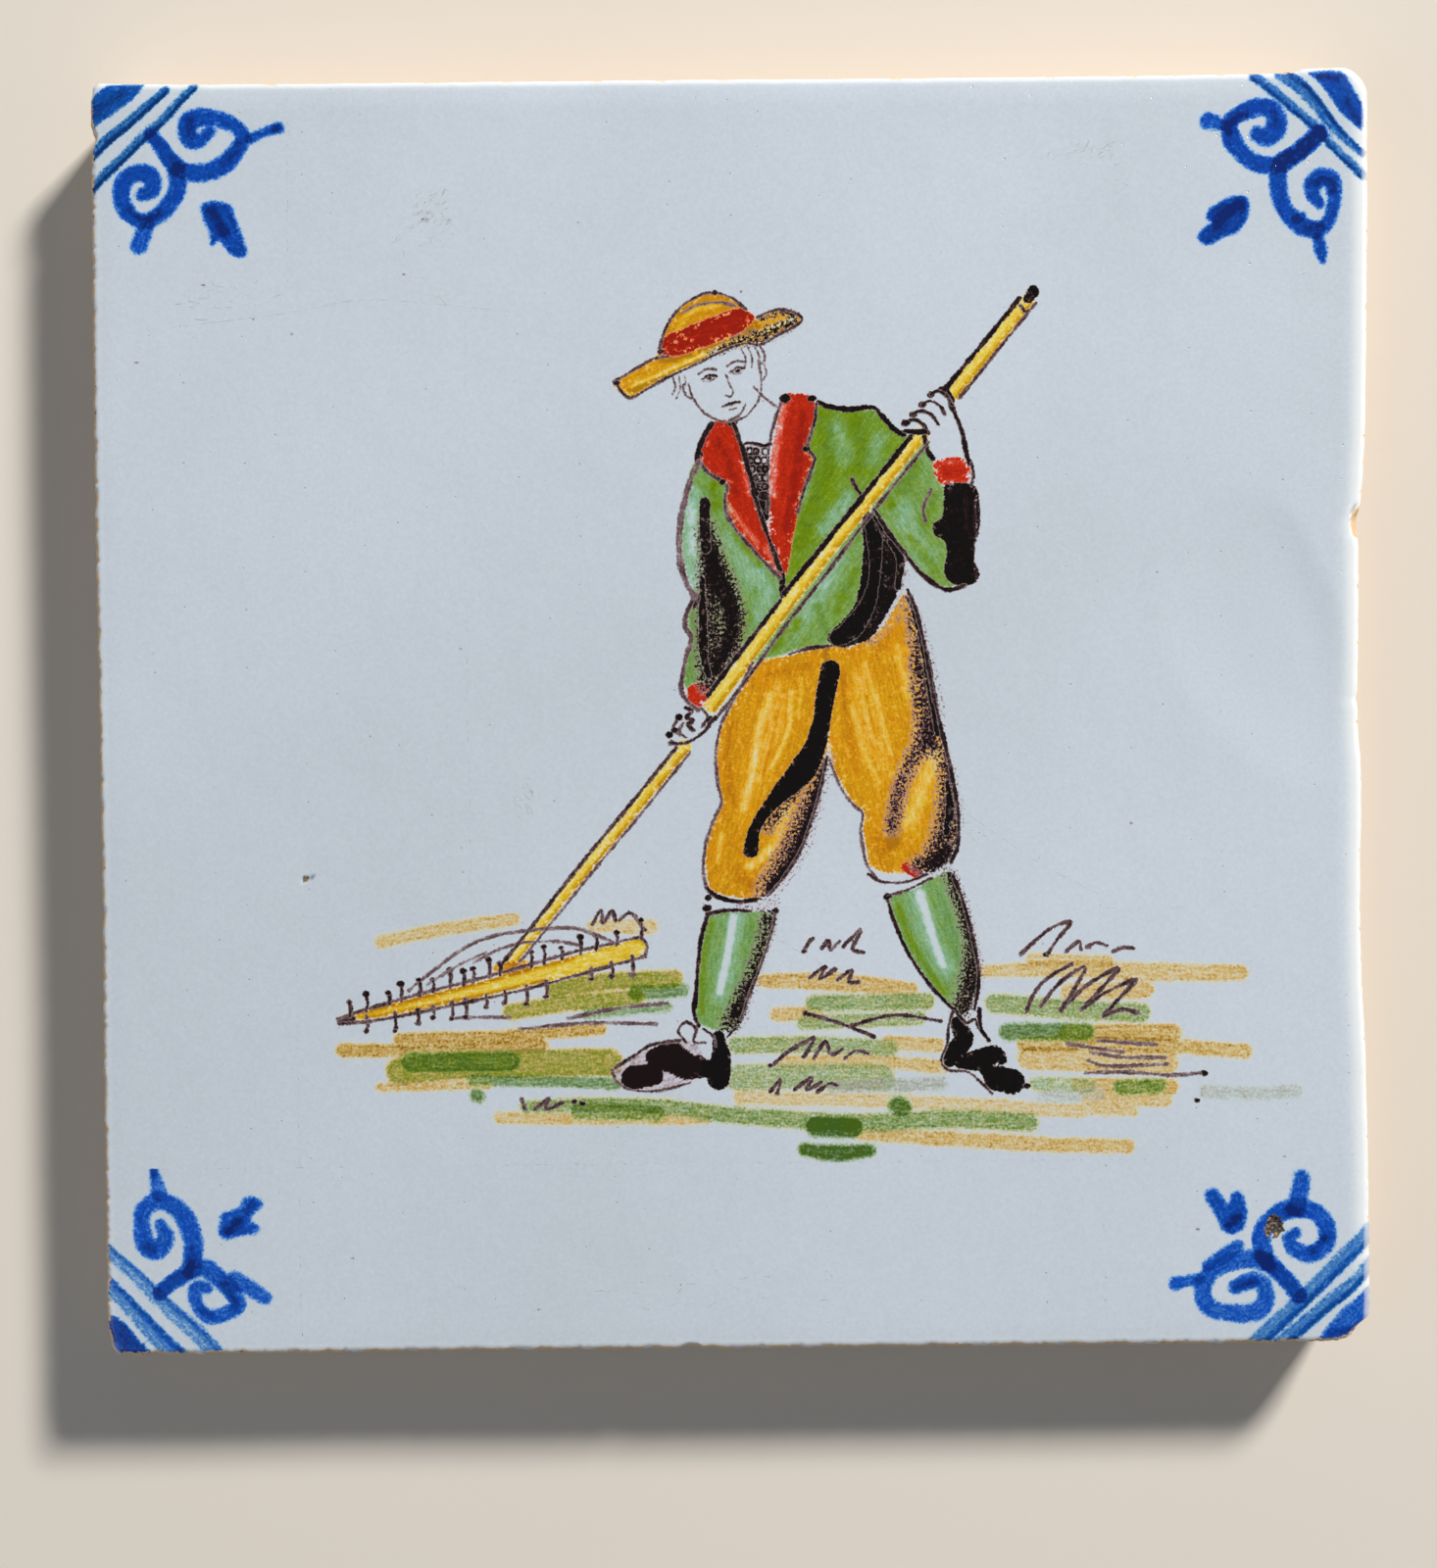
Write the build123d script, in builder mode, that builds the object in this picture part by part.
from build123d import *
import os

# A hand-made wall tile of tin-glazed earthenware, fired as one piece. It lies on its unglazed
# back, with the glazed face up. Millimetres, +Z out of the face, +Y to the picture's top.

# Size at the face: the top side, the left side, and from the back to the face.
width = 130.4
height = 129.6
thickness = 10.5

# The tile is a little out of square: the bottom side is this much shorter than the top one, and
# its middle this far to the left. The right side is this much longer than the left one, and its
# top corner this much higher.
bottom_narrowing = 1.9
bottom_shift = 0.4
right_lengthening = 0.3
right_rise = 0.5

# The sides pull in by this much between their corners, as the clay shrank.
right_bow = 1.0
top_bow = 0.35

# Corners of the outline, worn round, and the one that is knocked off.
top_left_radius = 1.0
top_right_radius = 2.6
bottom_left_radius = 1.4
knocked_corner = 2.2

# The back is this much smaller on every side, so that neighbours close up at the face.
undercut = 0.5

# The glaze rounds the arris of the face, and the back's edges are rubbed down.
face_arris = 0.8
back_arris = 0.5

# A shallow dent in the face at the right side, as pressed in by a thumb.
dent_width = 13.0
dent_depth = 0.4
dent_from_top = 51.0
dent_inset = 3.5

# A round pit in the face near the bottom right corner.
pit_width = 1.9
pit_depth = 0.35
pit_from_bottom = 12.0
pit_from_right = 9.9

# Shell-like chips out of the arris: where along the side, how long and how deep.
upper_chip_from_top = 45.8
upper_chip_length = 3.9
upper_chip_depth = 0.9
lower_chip_from_top = 64.4
lower_chip_length = 1.6
lower_chip_depth = 0.5
left_chip_from_top = 5.6
left_chip_length = 2.3
left_chip_depth = 0.6
bottom_chip_from_left = 59.3
bottom_chip_length = 2.6
bottom_chip_depth = 0.5

os.makedirs("parts", exist_ok=True)


def bowl_radius(width, depth):
    """Radius of the ball that leaves a hollow of this width and depth."""
    return (width**2 / 4 + depth**2) / (2 * depth)


# The four corners of the face, before they are worn. The origin is under the middle.
bottom_width = width - bottom_narrowing
right_height = height + right_lengthening
top_right = (width / 2, (height + right_rise) / 2)
top_left = (-width / 2, top_right[1] - right_rise)
bottom_left = (-bottom_shift - bottom_width / 2, top_left[1] - height)
bottom_right = (-bottom_shift + bottom_width / 2, top_right[1] - right_height)

with BuildPart() as delft_tile:
    # Outline of the face, clockwise from the top left corner
    with BuildSketch(Plane.XY.offset(thickness)) as face_outline:
        with BuildLine():
            top_middle = ((top_left[0] + top_right[0]) / 2, (top_left[1] + top_right[1]) / 2 - top_bow)
            right_middle = ((top_right[0] + bottom_right[0]) / 2 - right_bow, (top_right[1] + bottom_right[1]) / 2)
            top_side = ThreePointArc(top_left, top_middle, top_right)
            right_side = ThreePointArc(top_right, right_middle, bottom_right)
            bottom_side = Line(bottom_right, bottom_left)
            left_side = Line(bottom_left, top_left)
        make_face()
        fillet(vertices().sort_by_distance(top_left)[0], top_left_radius)
        fillet(vertices().sort_by_distance(top_right)[0], top_right_radius)
        fillet(vertices().sort_by_distance(bottom_left)[0], bottom_left_radius)
        chamfer(vertices().sort_by_distance(bottom_right)[0], knocked_corner)

    # Outline of the back
    with BuildSketch(Plane.XY):
        add(face_outline.sketch_local)
        offset(amount=-undercut)

    loft()
    fillet(faces().sort_by(Axis.Z)[-1].edges(), face_arris)
    fillet(faces().sort_by(Axis.Z)[0].edges(), back_arris)

    # Hollows in the face, each cut by a ball that reaches down to its depth
    dent_place = right_side.position_at(dent_from_top, position_mode=PositionMode.LENGTH)
    dent_radius = bowl_radius(dent_width, dent_depth)
    with Locations((dent_place.X - dent_inset, dent_place.Y, thickness - dent_depth + dent_radius)):
        Sphere(dent_radius, mode=Mode.SUBTRACT)
    pit_radius = bowl_radius(pit_width, pit_depth)
    pit_place = (bottom_right[0] - pit_from_right, bottom_right[1] + pit_from_bottom)
    with Locations((*pit_place, thickness - pit_depth + pit_radius)):
        Sphere(pit_radius, mode=Mode.SUBTRACT)

    # Chips out of the arris. The sides run clockwise, so outward is to the left of each one.
    chips = [
        (right_side, upper_chip_from_top, upper_chip_length, upper_chip_depth),
        (right_side, lower_chip_from_top, lower_chip_length, lower_chip_depth),
        (left_side, height - left_chip_from_top, left_chip_length, left_chip_depth),
        (bottom_side, bottom_width - bottom_chip_from_left, bottom_chip_length, bottom_chip_depth),
    ]
    for side, along, length, depth in chips:
        place = side.position_at(along, position_mode=PositionMode.LENGTH)
        outward = side.tangent_at(along, position_mode=PositionMode.LENGTH).rotate(Axis.Z, 90)
        radius = bowl_radius(length, depth)
        centre = place + outward * (radius - depth)
        with Locations((centre.X, centre.Y, thickness)):
            Sphere(radius, mode=Mode.SUBTRACT)

delft_tile.part.label = "delft_tile"
export_step(delft_tile.part, "parts/delft_tile.step")
